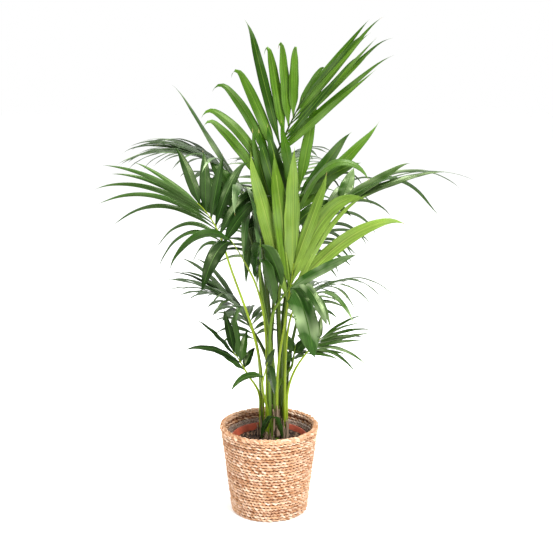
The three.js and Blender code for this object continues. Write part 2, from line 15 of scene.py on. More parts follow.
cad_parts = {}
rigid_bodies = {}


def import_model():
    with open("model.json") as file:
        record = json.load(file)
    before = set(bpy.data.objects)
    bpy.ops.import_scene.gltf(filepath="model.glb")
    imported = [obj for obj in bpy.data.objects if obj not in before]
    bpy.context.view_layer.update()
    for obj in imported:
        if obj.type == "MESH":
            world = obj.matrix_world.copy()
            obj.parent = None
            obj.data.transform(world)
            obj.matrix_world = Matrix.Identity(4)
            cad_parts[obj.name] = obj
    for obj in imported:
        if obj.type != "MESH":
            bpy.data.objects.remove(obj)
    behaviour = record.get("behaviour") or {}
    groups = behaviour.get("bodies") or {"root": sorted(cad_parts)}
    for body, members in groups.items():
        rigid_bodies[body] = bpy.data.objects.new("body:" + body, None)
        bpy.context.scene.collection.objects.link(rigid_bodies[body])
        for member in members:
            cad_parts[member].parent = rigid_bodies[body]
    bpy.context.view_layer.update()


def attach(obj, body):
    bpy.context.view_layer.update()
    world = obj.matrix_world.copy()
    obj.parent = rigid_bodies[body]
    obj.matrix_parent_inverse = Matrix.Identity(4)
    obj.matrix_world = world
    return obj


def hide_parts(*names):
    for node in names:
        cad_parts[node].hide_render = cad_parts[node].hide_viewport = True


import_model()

MM = 0.001
UP = Vector((0, 0, 1))

# Sizes that the solids share.
BASKET = Sizes(height=227, top_radius=125, foot_radius=97, wall=12)
LINER = Sizes(bottom=9.3, lip=205)
POT = Sizes(rim=95, body=90, foot=70, wall=2.2, rim_height=14, top=194, floor=10.6)
SOIL = Sizes(top=184, edge_drop=4, plateau=62)
STALK = Sizes(seat=3.9, seat_gap=0.6, rise=0.42, pull=0.3)
# How much the leaflets of a frond vary: those in SUMS by a sum, the others by a share of their size.
VARIETY = {"spread": 7, "lift": 14, "length": 0.14, "width": 0.16, "droop": 0.4, "twist": 30}
SUMS = ("spread", "lift", "twist")
# The places of leaflets along a rib, and how far each side's are set along it.
PLACES = {"first": 0.03, "last": 0.97, "only": 0.5, "left": 0.25, "right": 0.6}
# Turns in degrees of spread and lift that a leaflet tries, in this order, to pass its neighbours.
NUDGES = [(0, 0), (5, 0), (-5, 0), (0, 9), (0, -9), (9, 6), (-9, -6), (0, 18), (0, -18), (14, 0), (-14, 0)]

# Each seedling's stem: x, y, radius and height.
SEEDLINGS = {
    "left": (-20, 14, 7.5, 91), "front": (-3, -14, 7.5, 58), "middle": (17, -6, 7.5, 121),
    "right": (40, 2, 7.5, 91), "back": (4, 30, 7.5, 146), "rear": (30, 34, 7.5, 116),
    "sprout": (7, -33, 4, 22),
}

# A leaflet's sizes where its frond and its side state nothing else. The first four are the solids' too.
# wider: its width against the solid's. strap: how long it keeps that width, which it has from full_at on.
# fold: how far its tip folds down. shade: which of its group's three greens it has, if not dealt.
# paired: whether two finer leaflets stand for it, and the last four are their shares.
LEAFLET = {
    "start": 0, "bend": 1.3, "roll": 18, "twist": 0, "wider": 1, "strap": 2, "full_at": 0.28, "fold": 0,
    "shade": None, "paired": 0, "narrower": 1, "closer": 1, "shorter": 1, "nearer": 1,
}
FRONDS = []
SIDE = "count length spread droop".split()
FROND = "name seedling seat seed collar tip bow face width lift left right".split()


def side(*sizes, **more):
    """One side of a frond. A list runs from the collar to the tip of the rib."""
    return {**dict(zip(SIDE, sizes)), **more}


def frond(*sizes, **more):
    """Lists a frond with the points that steer its rib. An unstated right side is as the left."""
    made = {"group": "dark", "tone": "middle", "pull": STALK.pull, **dict(zip(FROND, sizes)), **more}
    collar, tip = Vector(made["collar"]), Vector(made["tip"])
    made["rib"] = [collar, collar.lerp(tip, 0.5) + Vector(made["bow"]), tip]
    FRONDS.append(Sizes(**{"right": made["left"], **made}))


# The fronds, as the solids have them. collar and tip are the rib's ends, and bow is how far its middle
# swings out. face is where the upper side looks: degrees round from +X, then degrees up. group and tone
# name the greens of the leaflets and of the stalk.
frond(
    "crown", "back", 330, 1, (-15, 30, 815), (82, 20, 1035), (-8, 0, 0), (-100, 0), 21, 10,
    side(
        9, [240, 255, 255, 250, 320, 250, 230, 185, 115], [54, 50, 46, 42, 41, 31, 29, 27, -6],
        [0.5, 0.7, 0.65, 0.5, -0.05, 0.1, 0.1, 0.15, 0.1], width=[26, 28, 28, 28, 26, 30, 28, 28, 20],
        wider=0.9, fold=[2.2] * 4 + [0] + [2.2] * 4,
    ),
    side(
        5, [365, 365, 340, 320, 255], [32, 33, 28, 20, 20], [0.1, 0, 0, 0, 0], start=0.3, lift=35, width=30,
        roll=-25, wider=0.85, strap=1.8, paired=1, narrower=0.8, closer=0.4, shorter=0.96, nearer=0.95,
    ),
    pull=0.12, strap=3.2, group="fresh", tone="deep",
)
frond(
    "young", "middle", 300, 2, (40, -30, 505), (60, -35, 645), (0, 0, 0), (-90, 0), 36, 5,
    side(3, [400, 345, 310], [24, 12, 11], 0.05, start=0.25, wider=1.2),
    side(
        4, [370, 360, 290, 250], [12, 21, 13, -2], [0.75, 0.9, 0.95, 0], width=[12, 24, 34, 26], wider=1.35,
        shade=2,
    ),
    strap=2.7, group="pale", tone="bright",
)
frond(
    "upright", "rear", 270, 8, (35, 10, 635), (75, 10, 830), (0, 0, 0), (-90, 0), 35, 5,
    side(4, [315, 295, 245, 190], [24, 28, 26, 15], 0.05),
    side(
        6, [210, 310, 290, 220, 200, 225], [30, 10, 32, 20, 38, -5], [1.5, 1.2, 0.1, 0.1, 0.3, 0.05],
        start=0.3, lift=[-30, 50, 0, 10, 20, -25], width=[30, 30, 33, 33, 33, 26],
    ),
    strap=2.3, group="fresh",
)
frond(
    "front_left", "left", 345, 3, (-102, -60, 675), (-166, -85, 798), (10, 0, 23), (-75, 15), 18, 10,
    # The left side's leaflets take the fan's lighter green: painted sheen where their gloss catches light.
    side(
        9, [130, 250, 240, 295, 320, 310, 260, 250, 180], [50, 48, 46, 42, 37, 32, 27, 18, 4],
        [2.6, 2.2, 1.8, 1.2, 1.1, 0.9, 0.6, 0.5, 0.3], lift=-60, roll=65, wider=0.68, shade=1,
    ),
    side(
        6, [185, 215, 185, 150, 155, 155], [51, 52, 47, 45, 38, 33], [0.9, 1.1, 0.9, 0.3, 0.7, 0.4],
        lift=-10, width=[23, 25, 25, 22, 24, 22], wider=1.15, shade=0,
    ),
    strap=2.2, group="fan", tone="bright",
)
frond(
    "back_left", "back", 150, 4, (-20, 60, 730), (-190, 90, 893), (0, 0, 72), (60, 70), 22, 5,
    side(
        10, [200, 225, 215, 205, 215, 225, 230, 225, 215, 200], [125, 95, 70, 52, 44, 38, 31, 25, 18, 12],
        [2.2, 2, 1.4, 1.2, 1.1, 1, 0.9], width=[30, 28, 24, 20, 20, 20], lift=[-30, 0, 5, 5, 5], wider=1.05,
        paired=1,
    ),
    side(
        9, [400, 220, 230, 230, 230, 210], [8, 55, 45, 35, 24, 10], [0, 1.3, 1.2, 1.1, 1, 0.9], wider=0.95,
        paired=[0] + [1] * 8, roll=[53] + [18] * 8,
    ),
    group="grey",
)
frond(
    "right", "right", 155, 9, (130, 0, 750), (190, 6, 800), (0, 0, 6), (-110, 50), 22, 10,
    side(3, [165, 215, 95], [30, -6, 40], [1.5, 0.1, 0.1], width=[20, 20, 30], wider=1.1),
    side(
        4, [375, 290, 375, 360], [-6, 11, 7, 5], [1.9, 0.35, 0.85, 1.15], lift=[40, -30, 20, 0],
        width=[14, 20, 14, 24], roll=30, wider=1.25,
    ),
    group="soft",
)
frond(
    "back_right", "rear", 30, 10, (58, 62, 610), (115, 88, 740), (0, 0, 12), (100, 50), 13, 5,
    side(6, [200, 220, 230, 260, 280, 280], [50, 50, 46, 40, 30, 12], [1.8, 1.7, 1.6, 1.5, 1.4, 1.2]),
    side(5, [180, 200, 200], [60, 40, 15], [1.5, 1.5, 1.4]), paired=1, group="grey", tone="deep",
)
frond(
    "mid_right", "right", 250, 11, (68, 5, 530), (142, 15, 580), (0, 0, 8), (100, 75), 16, 5,
    side(4, [150, 170, 175, 160], [50, 38, 25, 8], [1.8, 1.7, 1.4, 1.3]),
    side(3, [200, 190, 230], [50, 32, 12], [1.9, 1.9, 1.8], width=[22, 16, 18]), pull=0.15, paired=1,
    group="soft", tone="bright",
)
frond(
    "front_middle", "front", 0, 12, (16, -52, 540), (74, -72, 618), (0, 0, 10), (-70, 60), 24, 0,
    side(1, 200, -20, 0.25, start=0.1, width=20),
    side(2, [182, 135], [22, 38], [5, 2], start=0.35, width=[50, 20], lift=[-12, 10], bend=0.6), pull=0.15,
    wider=1.15, strap=3.4, group="glossy", full_at=0.14,
)
frond(
    "low_front_left", "front", 178, 13, (-45, -45, 625), (-90, -68, 708), (0, 0, 6), (-60, 60), 26, 0,
    side(1, 165, 38, 2.7, start=0.8, width=33, bend=0.8),
    side(1, 235, -20, 1.8, start=0.8, width=22, bend=1, wider=0.8), tone="bright",
)
frond(
    "inner_left", "front", 89, 26, (-30, -2, 650), (-83, 8, 822), (0, 0, 10), (-100, 20), 25, 5,
    side(3, [150, 140, 110], [32, 24, 12], [0.6, 0.5, 0.4], start=0.35),
    side(4, [160, 110, 105, 80], [20, 50, 24, -8], [0.5, 0.4, 0.3, 0.3], lift=[-2, -10, -20, -20]),
    wider=1.3, strap=3, tone="deep",
)
frond(
    "front_hanging", "middle", 180, 21, (-22, -42, 630), (-20, -60, 708), (0, 0, 0), (-90, 60), 28, 0,
    side(1, 92, 60, 3.2, start=0.7, lift=70, width=36, bend=0.6),
    side(2, [118, 125], [52, 66], 3.4, lift=[50, 20], bend=0.6), wider=1.25, strap=3,
)
frond(
    "mid_left", "back", 240, 14, (-50, 30, 475), (-110, 45, 540), (0, 0, 20), (60, 60), 18, 5,
    side(5, [150, 190, 190], [35, 20, 5], [1.5, 0.8, 0.6], wider=1.1),
    side(6, [110, 130, 170], [45, 35, 10], [1.5, 1.3, 0.9], wider=1.3), strap=2.6, paired=1, group="grey",
    tone="deep",
)
frond(
    "low_left", "left", 225, 15, (-56, -20, 365), (-90, -30, 425), (0, 0, 5), (-70, 50), 22, 5,
    side(3, [120, 170, 150], [20, 22, 8], [0.5, 0.6, 0.4]),
    side(4, [70, 100, 120], [60, 40, 14], [0.7, 0.5, 0.4]), tone="bright",
)
frond(
    "low_front", "front", 268, 16, (-15, -50, 355), (-4, -62, 405), (0, 0, 0), (-90, 40), 27, 0,
    side(2, [100, 65], [75, -5], [2, 0.2], lift=[20, 0], wider=0.65),
    side(1, 85, 70, 3, start=0.7, lift=45, bend=0.6), tone="bright",
)
frond(
    "low_right", "right", 340, 17, (88, 10, 400), (130, 15, 445), (0, 0, 4), (-100, 50), 20, 5,
    side(3, [65, 65, 65], [120, 75, 45], [1.2, 0.6, 0.1]),
    side(
        5, [110, 175, 160, 150, 120], [50, 42, 35, 28, 8], [0.5, 1.1, 0.2, 0.8, 0.7],
        width=[14, 14, 20, 14, 14],
    ),
    paired=1, group="soft", tone="bright",
)
frond(
    "low_middle", "middle", 70, 18, (58, 22, 375), (66, 26, 425), (0, 0, 0), (-90, 20), 26, 5,
    side(2, [50, 60], [60, 40], 0.3), side(1, 65, 20, 0.3),
)
frond(
    "sprout", "sprout", 0, 19, (9, -34, 246), (11, -42, 264), (0, 0, 0), (-90, 30), 18, 0,
    side(1, 62, 60, 2.4, lift=30, bend=0.7), side(1, 66, 55, 2.6, lift=40, bend=0.7), wider=1.2,
)
frond(
    "high_back", "rear", 150, 22, (20, 150, 745), (45, 330, 865), (0, 0, 60), (80, 80), 20, 10,
    side(8, [190, 230, 200], [60, 42, 12], [1.3, 1.1, 0.8]), paired=1, group="grey", tone="deep",
)
frond(
    "mid_back", "back", 60, 23, (-15, 150, 600), (-40, 270, 690), (0, 0, 40), (100, 80), 20, 10,
    side(6, [150, 180, 170], [60, 42, 12], [1.5, 1.3, 1]), paired=1, group="grey", tone="deep",
)
frond(
    "low_back_left", "left", 105, 24, (-35, 105, 410), (-60, 170, 465), (0, 0, 20), (110, 75), 20, 10,
    side(3, [110, 130, 120], [60, 42, 12], [1.3, 1.1, 1]), paired=1, group="grey",
)
frond(
    "low_back_right", "right", 70, 25, (70, 110, 460), (105, 195, 530), (0, 0, 30), (70, 75), 20, 10,
    side(4, [130, 150, 140], [60, 42, 12], [1.5, 1.2, 1]), paired=1, group="grey", tone="deep",
)

# The looks of each group of leaves: the three greens that its leaflets are dealt, the green of its ribs
# and of its lower sides, how rough and how glossy it is, and how strong its painted sheen is: pale
# patches mixed into the green that stand for light reflected off the leaves.
GREENS = {
    "dark": ([(28, 56, 14), (42, 72, 22), (19, 42, 10)], (60, 92, 36), (56, 86, 42), (0.27, 0.28), 90),
    "grey": ([(54, 82, 40), (42, 70, 30), (68, 94, 54)], (72, 94, 54), (70, 92, 58), (0.3, 0.6), 185),
    "fresh": ([(60, 98, 17), (38, 74, 8), (76, 113, 27)], (104, 134, 48), (84, 116, 36), (0.32, 0.3), 110),
    "pale": (
        [(94, 126, 32), (78, 110, 22), (122, 150, 60)], (146, 164, 76), (128, 150, 58), (0.4, 0.25), 100,
    ),
    "soft": ([(50, 80, 24), (62, 94, 34), (40, 66, 18)], (72, 104, 40), (64, 94, 44), (0.27, 0.5), 190),
    "glossy": ([(36, 70, 20), (44, 80, 26), (30, 60, 16)], (62, 96, 36), (60, 90, 42), (0.24, 0.55), 250),
    # The fan's second green is lighter: painted sheen, given to the left leaflets of front_left.
    "fan": ([(26, 54, 13), (62, 92, 40), (34, 64, 18)], (60, 92, 36), (56, 86, 42), (0.27, 0.28), 90),
}
# The slots of the groups whose leaves aren't dark.
SLOTS = {"grey": "leaf_grey_green", "fresh": "leaf_fresh", "pale": "leaf_pale"}
LOWER_GLOSS = (0.5, 0.25)
# Each tone of stalk: the greens of its streaks, and how stout it is. The darkest tone is painted shade:
# darker, stouter stalks for the fronds at the back and inside the clump, where it shades them.
STALK_TONES = {
    "bright": ([(78, 98, 12), (118, 138, 26), (156, 170, 58)], 0.92),
    "middle": ([(44, 68, 12), (74, 100, 22), (112, 136, 44)], 1.25),
    "deep": ([(22, 40, 12), (34, 56, 16), (54, 80, 26)], 1.4),
}


# Helpers
def draw(seed, number):
    """A fixed pseudo-random number from 0 to 1 for a seed and a draw's number."""
    wave = sin(seed * 12.9898 + number * 78.233) * 43758.5453
    return wave - floor(wave)


def mix(a, b, t):
    return a + (b - a) * t


def smoothly(t):
    t = min(1, max(0, t))
    return t * t * (3 - 2 * t)


def value_at(values, t):
    """The value at share t of the way along a list, or a lone number."""
    if not isinstance(values, list):
        return values
    place = t * (len(values) - 1)
    index = min(floor(place), len(values) - 2)
    return mix(values[index], values[index + 1], place - index)


def shares(steps):
    return [k / steps for k in range(steps + 1)]


def angles_round(sides):
    return [tau * i / sides for i in range(sides)]


def polar(radius, angle, z=0, x=0, y=0):
    """The place at a radius and an angle round an upright axis, at a height."""
    return x + radius * cos(angle), y + radius * sin(angle), z


def bumps(x, y, z):
    """A smooth noise from about -1 to 1."""
    return noise.noise(Vector((x, y, z)))


def looking_to(face):
    """A direction from degrees round from +X and degrees up."""
    around, above = (radians(angle) for angle in face)
    return Vector(polar(cos(above), around, sin(above)))


# The rule of the fronds
def curve(points, t):
    """The place at share t of the curve that its points steer."""
    while len(points) > 1:
        points = [a.lerp(b, t) for a, b in zip(points, points[1:])]
    return points[0]


def heading(rib, t):
    return (curve(rib[1:], t) - curve(rib[:-1], t)).normalized()


def leaflets_of(frond):
    """The sizes of every leaflet of a frond, in order: the left side's first."""
    listed = []
    for sign, name in ((1, "left"), (-1, "right")):
        stated = {**LEAFLET, **vars(frond), **getattr(frond, name)}
        count = stated["count"]
        for i in range(count):
            share = i / max(1, count - 1)
            leaf = {key: value_at(stated[key], share) for key in {**LEAFLET, **VARIETY}}
            evenly = mix(PLACES["first"], PLACES["last"], (i + PLACES[name]) / count)
            leaf["place"] = mix(leaf["start"], 1, evenly if count > 1 else PLACES["only"])
            for k, (key, amount) in enumerate(VARIETY.items()):
                vary = amount * (draw(frond.seed, 10 * i + 3 * sign + k) - 0.5)
                leaf[key] = leaf[key] + vary if key in SUMS else leaf[key] * (1 + vary)
            listed.append(Sizes(**leaf, sign=sign, apart=1 / count))
    return listed


def root_of(frond, leaf, nudge):
    """A leaflet's start on the rib, its first direction, and that of its width."""
    ahead = heading(frond.rib, leaf.place)
    face = looking_to(frond.face)
    normal = (face - ahead * face.dot(ahead)).normalized()
    outwards = normal.cross(ahead) * leaf.sign
    spread = radians(leaf.spread + nudge[0])
    lift = radians(leaf.lift + nudge[1])
    sideways = outwards * cos(lift) + normal * sin(lift)
    way = ahead * cos(spread) + sideways * sin(spread)
    upper = normal * cos(lift) - outwards * sin(lift)
    width = way.cross(upper).normalized()
    width.rotate(Matrix.Rotation(radians(leaf.sign * leaf.roll), 3, way))
    return curve(frond.rib, leaf.place), way, width


def midline_of(root, leaf, steps):
    """Points, widths and directions along the middle of a leaflet, which falls over."""
    origin, first, width = root
    points, widths, ways = [origin], [width], [first]
    for k in range(steps):
        fall = leaf.droop * ((k + 0.5) / steps) ** leaf.bend
        way = (first - UP * fall).normalized()
        width = (width - way * width.dot(way)).normalized()
        turned = width.copy()
        turned.rotate(Matrix.Rotation(radians(leaf.twist) * (k + 1) / steps, 3, way))
        points.append(points[-1] + way * (leaf.length / steps))
        widths.append(turned)
        ways.append(way)
    return points, widths, ways


# Meshes
def placed(name, data, place=(0, 0, 0), turn=(0, 0, 0)):
    thing = bpy.data.objects.new(name, data)
    bpy.context.collection.objects.link(thing)
    thing.location = place
    thing.rotation_euler = turn
    return thing


class Shape:
    """Closed shells gathered for one mesh, in millimetres."""

    def __init__(self):
        self.vertices, self.faces, self.materials, self.uvs, self.count = [], [], [], [], 0

    def add(self, rings, material=0, uvs=None, **ends):
        """Adds a skin over rings, with one material number or one for each face."""
        vertices, faces = skin(rings, **ends)
        faces = turned_out(vertices, faces)
        self.vertices.append(vertices)
        self.uvs.append(np.zeros((len(vertices), 2)) if uvs is None else np.asarray(uvs, float))
        self.faces.extend(tuple(i + self.count for i in face) for face in faces)
        self.materials.extend([material] * len(faces) if isinstance(material, int) else material)
        self.count += len(vertices)
        return self

    def piece(self, name, materials, replaced, slot):
        """Makes the mesh, which rides on the only body and stands for a packed node."""
        mesh = bpy.data.meshes.new(name)
        mesh.from_pydata((np.concatenate(self.vertices) * MM).tolist(), [], self.faces)
        mesh.polygons.foreach_set("material_index", self.materials)
        mesh.shade_smooth()
        corners = np.empty(len(mesh.loops), np.int64)
        mesh.loops.foreach_get("vertex_index", corners)
        layer = mesh.uv_layers.new(name="grain")
        layer.data.foreach_set("uv", np.concatenate(self.uvs)[corners].ravel())
        for material in materials:
            mesh.materials.append(material)
        thing = placed(name, mesh)
        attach(thing, "root")
        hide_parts(replaced)


def turned_out(vertices, faces):
    """The faces of a closed shell, turned round if they point inwards."""
    first = np.array([face[:3] for face in faces])
    fourth = np.array([(face[0], face[2], face[-1]) for face in faces])
    volume = 0
    for corners in (first, fourth):
        a, b, c = (vertices[corners[:, i]] for i in range(3))
        volume += np.einsum("ij,ij->", a, np.cross(b, c))
    return faces if volume > 0 else [face[::-1] for face in faces]


def skin(rings, loop=False, tip=None):
    """Vertices and faces of a skin over rings of points, capped at its ends or closed as a loop."""
    rings = np.asarray(rings, float)
    count, sides = rings.shape[:2]
    vertices = rings.reshape(-1, 3)
    here = np.arange(count if loop else count - 1)[:, None] * sides
    there = (here + sides) % (count * sides)
    i = np.arange(sides)[None, :]
    j = (i + 1) % sides
    quads = np.stack([here + i, here + j, there + j, there + i], -1).reshape(-1, 4)
    faces = list(map(tuple, quads.tolist()))
    if loop:
        return vertices, faces
    faces.append(tuple(range(sides))[::-1])
    last = (count - 1) * sides
    if tip is None:
        faces.append(tuple(range(last, last + sides)))
        return vertices, faces
    faces.extend((last + k, last + (k + 1) % sides, count * sides) for k in range(sides))
    return np.vstack([vertices, [tip]]), faces


def tube(points, radii, section, side=Vector((1, 0.37, 0.11))):
    """The rings of a tube along points, with a section of (x, y) shares of its radius."""
    rings = []
    for k, point in enumerate(points):
        ahead, behind = points[min(k + 1, len(points) - 1)], points[max(k - 1, 0)]
        way = (ahead - behind).normalized()
        across = (side - way * side.dot(way)).normalized()
        other = way.cross(across)
        rings.append([point + across * (radii[k] * x) + other * (radii[k] * y) for x, y in section])
    return rings


def lathe(profile, sides):
    """The rings of a (radius, height) profile turned about the upright axis."""
    return [[polar(radius, angle, z) for angle in angles_round(sides)] for radius, z in profile]


# Leaves and stalks
# base and whip are shares of a leaflet's width: at its foot, and along its thin tip.
BLADE = Sizes(
    steps=24, base=0.16, whip=0.09, whip_power=0.4, narrows_at=0.35, closes_at=0.97,
    thickness=0.55, thin_tip=0.5, thin_edge=0.45, rib_ends=0.8,
)
# The two leaflets of a pair against the solid's: how far along the rib, in steps between leaflets, how
# far turned in spread and lift, and the shares of length, width and droop.
TWINS = [(-0.22, 3.5, 5, 0.94, 0.74, 1.1), (0.22, -3.5, -5, 1, 0.8, 0.94)]
# Places across a leaflet, and how far each sinks in its pleats.
ACROSS = [-1, -0.74, -0.48, -0.24, -0.05, 0.05, 0.24, 0.48, 0.74, 1]
PLEATS = [0.25, 1, 0, 1, 0, 0, 1, 0, 1, 0.25]
PLEAT_DEPTH = 0.042
ROOF = Sizes(base=34, blade=9, open_at=0.3)
RIPPLE = Sizes(height=0.09, waves=3.5, rise=3)
CURL = Sizes(start=0.8, fall=0.4, side=0.4, power=1.6)
DRY_SHARE = 0.22
# Material numbers of a leaflet, after its three greens.
RIB, LOWER, DRY = 3, 4, 5
# The runs of a petiole, up the stem, free and along the rib: their steps, and the radii at their ends.
SHEATH_RUN, FREE_RUN, RIB_RUN = (6, 3.1, 4.1), (30, 4.1, 2.7), (16, 2.7, 0.8)
PETIOLE = Sizes(sides=10, channel=0.3, taper=1.2, sunk=3, aside=0.6, sprout=0.6)
SEAT_TOLERANCE = 3


def width_share(s, strap, full_at):
    """The share of its full width that a leaflet has at share s of its length."""
    rise = mix(BLADE.base, 1, smoothly(s / full_at))
    past = max(0, s - BLADE.narrows_at) / (BLADE.closes_at - BLADE.narrows_at)
    return max(rise * (1 - past**strap), BLADE.whip * (1 - s) ** BLADE.whip_power)


def leaf_section(half, s, seed):
    """Points round a leaflet as (across, up, share across): its upper side, then its lower one."""
    roof = tan(radians(mix(ROOF.base, ROOF.blade, smoothly(s / ROOF.open_at))))
    thickness = BLADE.thickness * (1 - BLADE.thin_tip * s)
    upper = []
    for x, pleat in zip(ACROSS, PLEATS):
        wave = sin(tau * (RIPPLE.waves * s + draw(seed, 2 if x < 0 else 3)))
        ripple = RIPPLE.height * x * x * wave * smoothly(s * RIPPLE.rise)
        upper.append((x * half, half * (ripple - abs(x) * roof - pleat * PLEAT_DEPTH), x))
    return upper + [(x, z - thickness * (1 - BLADE.thin_edge * abs(t)), t) for x, z, t in reversed(upper)]


def leaf_skins(green, dry):
    """A material number for each face of a leaflet."""
    upper = len(ACROSS) - 1
    numbers = []
    for k in range(BLADE.steps - 1):
        row = [green] * upper + [LOWER] * (upper + 2)
        if k / BLADE.steps < BLADE.rib_ends:
            row[upper // 2] = RIB
        numbers += row
    return numbers + [LOWER] + [DRY if dry else LOWER] * 2 * len(ACROSS)


def curl_tip(points, widths, ways, leaf, seed):
    """Bends the end of a midline down and to a side."""
    steps = len(points) - 1
    to_side = (draw(seed, 5) - 0.5) * 2 * CURL.side
    fall = draw(seed, 6) * CURL.fall + leaf.fold
    for k in range(1, steps + 1):
        share = max(0, ((k - 0.5) / steps - CURL.start) / (1 - CURL.start)) ** CURL.power
        ways[k] = (ways[k] - UP * fall * share + widths[k] * to_side * share).normalized()
        points[k] = points[k - 1] + ways[k] * (leaf.length / steps)


def add_leaflet(shape, root, leaf, seed):
    steps = BLADE.steps
    points, widths, ways = midline_of(root, leaf, steps)
    curl_tip(points, widths, ways, leaf, seed)
    rings, uvs = [], []
    offset = draw(seed, 7) * 40
    for k in range(steps):
        s = k / steps
        half = leaf.width / 2 * width_share(s, leaf.strap, leaf.full_at)
        width = (widths[k] - ways[k] * widths[k].dot(ways[k])).normalized()
        upper = width.cross(ways[k])
        section = leaf_section(half, s, seed)
        rings.append([points[k] + width * x + upper * z for x, z, share in section])
        uvs.extend((offset + x / 10, s * leaf.length / 100) for x, z, share in section)
    uvs.append((offset, leaf.length / 100))
    green = int(draw(seed, 9) * 3) if leaf.shade is None else leaf.shade
    shape.add(rings, leaf_skins(green, draw(seed, 8) < DRY_SHARE), uvs, tip=points[-1])


def packed_surface(name):
    """A tree of a packed node's faces, in millimetres."""
    mesh = bpy.data.objects[name].data
    vertices = [v.co / MM for v in mesh.vertices]
    return BVHTree.FromPolygons(vertices, [p.vertices[:] for p in mesh.polygons])


def kept_nudge(frond, leaf, surface):
    """The nudge that the solid's leaflet was given, or None where the solid skips it."""
    steps = 5 + (leaf.droop > 0.3) + (leaf.droop > 1)
    for nudge in NUDGES:
        points = midline_of(root_of(frond, leaf, nudge), leaf, steps)[0]
        if all(surface.find_nearest(point, SEAT_TOLERANCE)[0] for point in points[1:]):
            return nudge
    return None


def finer_leaflets(leaf):
    """The one or two finer leaflets that stand for one of the solid's."""
    leaf.width *= leaf.wider
    if not leaf.paired:
        return [leaf]
    pair = []
    for along, spread, lift, length, width, droop in TWINS:
        finer = Sizes(**vars(leaf))
        finer.length *= length * leaf.shorter
        finer.width *= width * leaf.narrower
        finer.droop *= droop
        finer.spread = leaf.spread * leaf.nearer + spread * leaf.closer
        finer.lift += lift
        finer.place = min(0.99, max(0.01, leaf.place + along * leaf.apart))
        pair.append(finer)
    return pair


def make_leaflets(frond, skins):
    shape = Shape()
    surface = packed_surface(frond.name + "_blade")
    for index, leaf in enumerate(leaflets_of(frond)):
        nudge = kept_nudge(frond, leaf, surface)
        for k, finer in enumerate(finer_leaflets(leaf) if nudge else []):
            add_leaflet(shape, root_of(frond, finer, nudge), finer, frond.seed * 100 + index + 50 * k)
    slot = SLOTS.get(frond.group, "leaf_dark")
    shape.piece(frond.name + "_leaflets", skins, frond.name + "_blade", slot)


def make_petiole(frond, look):
    """The stalk and the rib as one tapering tube, with a channel along its upper side."""
    x, y, radius, height = SEEDLINGS[frond.seedling]
    sprout = frond.seedling == "sprout"
    stout = PETIOLE.sprout if sprout else STALK_TONES[frond.tone][1]
    aside = Vector(polar(1, radians(frond.seat)))
    rib, collar = frond.rib, frond.rib[0]
    seat = Vector((x, y, SOIL.top + STALK.seat_gap + height)) + aside * (0 if sprout else STALK.seat)
    foot = seat - UP * (height - PETIOLE.sunk) - aside * PETIOLE.aside
    reach = (collar - seat).length
    free = [seat, seat + UP * reach * STALK.rise, collar - heading(rib, 0) * reach * frond.pull, collar]
    runs = [
        ([foot, seat], *SHEATH_RUN, smoothly), (free, *FREE_RUN, lambda t: t ** PETIOLE.taper),
        (rib, *RIB_RUN, lambda t: t),
    ]
    points, radii = [], []
    for steered, steps, first, last, ease in runs:
        for k in range(steps + (steered is rib)):
            points.append(curve(steered, k / steps))
            radii.append(mix(first, last, ease(k / steps)) * stout)
    angles = angles_round(PETIOLE.sides)
    section = [(cos(a) * (1 - PETIOLE.channel * max(0, cos(a)) ** 3), sin(a)) for a in angles]
    along = [0]
    for a, b in zip(points, points[1:]):
        along.append(along[-1] + (b - a).length / 100)
    rings = tube(points, radii, section, looking_to(frond.face))
    stalk = Shape().add(rings, 0, [(frond.seed * 7.3 + sin(a) * 0.8, v) for v in along for a in angles])
    stalk.piece(frond.name + "_petiole", [look], frond.name + "_stalk", "stalk")


# Stems
STEM = Sizes(
    sides=30, steps=70, sunk=4, profile=[0.78, 0.78, 0.7, 0.6, 0.46], sheaths=4,
    edge=0.07, slant=0.05, ridge=0.025, ridges=9, lump=0.09,
)
HUSK = Sizes(count=9, width=7.5, thickness=0.4, peel=4, out=2.4, foot=0.15, steps=12)
HUSK_SECTION = ((-1, 0), (-0.4, 0.5), (0.4, 0.5), (1, 0), (0.4, -0.5), (-0.4, -0.5))


def stem_share(around, t, seed):
    """A stem's share of its radius, with the edges of its sheaths, ridges and lumps."""
    share = value_at(STEM.profile, t)
    for k in range(STEM.sheaths):
        edge = (k + 0.6 + 0.5 * (draw(seed, 20 + k) - 0.5)) / STEM.sheaths
        slant = STEM.slant * cos(around - tau * draw(seed, 30 + k))
        share -= STEM.edge * (smoothly((t - edge - slant) * 40) - smoothly((t - edge + 0.18) * 5))
    ridges = STEM.ridge * sin(around * STEM.ridges + 2 * sin(t * 5 + seed))
    return share + ridges + STEM.lump * bumps(*polar(1.2, around, t * 4 + seed * 3.1))


def add_husk(shape, stem, seed, k):
    """A dry strip of old sheath that peels away at its top."""
    x, y, radius, height = stem
    reach = height * mix(0.25, 0.75, draw(seed, 40 + k))
    around = tau * (k + draw(seed, 50 + k)) / HUSK.count
    low = SOIL.top - 2 + height * HUSK.foot * draw(seed, 60 + k)
    width = HUSK.width / 2 * mix(0.7, 1.3, draw(seed, 70 + k))
    peel = HUSK.peel * draw(seed, 80 + k)
    rings, uvs = [], []
    for s in shares(HUSK.steps):
        half = width * (1 - 0.75 * s**2)
        out = radius * 1.07 + HUSK.out * (k % 2) + 0.4 + peel * s**4
        turn = around + 0.25 * sin(3 * s + k)
        z = low + reach * s
        rings.append([])
        for across, thick in HUSK_SECTION:
            away = out + thick * HUSK.thickness + 0.5 * sin(across * 2 + s * 9 + k)
            rings[-1].append(polar(away, turn + across * half / radius, z + across * 0.8, x, y))
            uvs.append((k * 3 + across * half / 10, z / 100))
    shape.add(rings, 1, uvs)


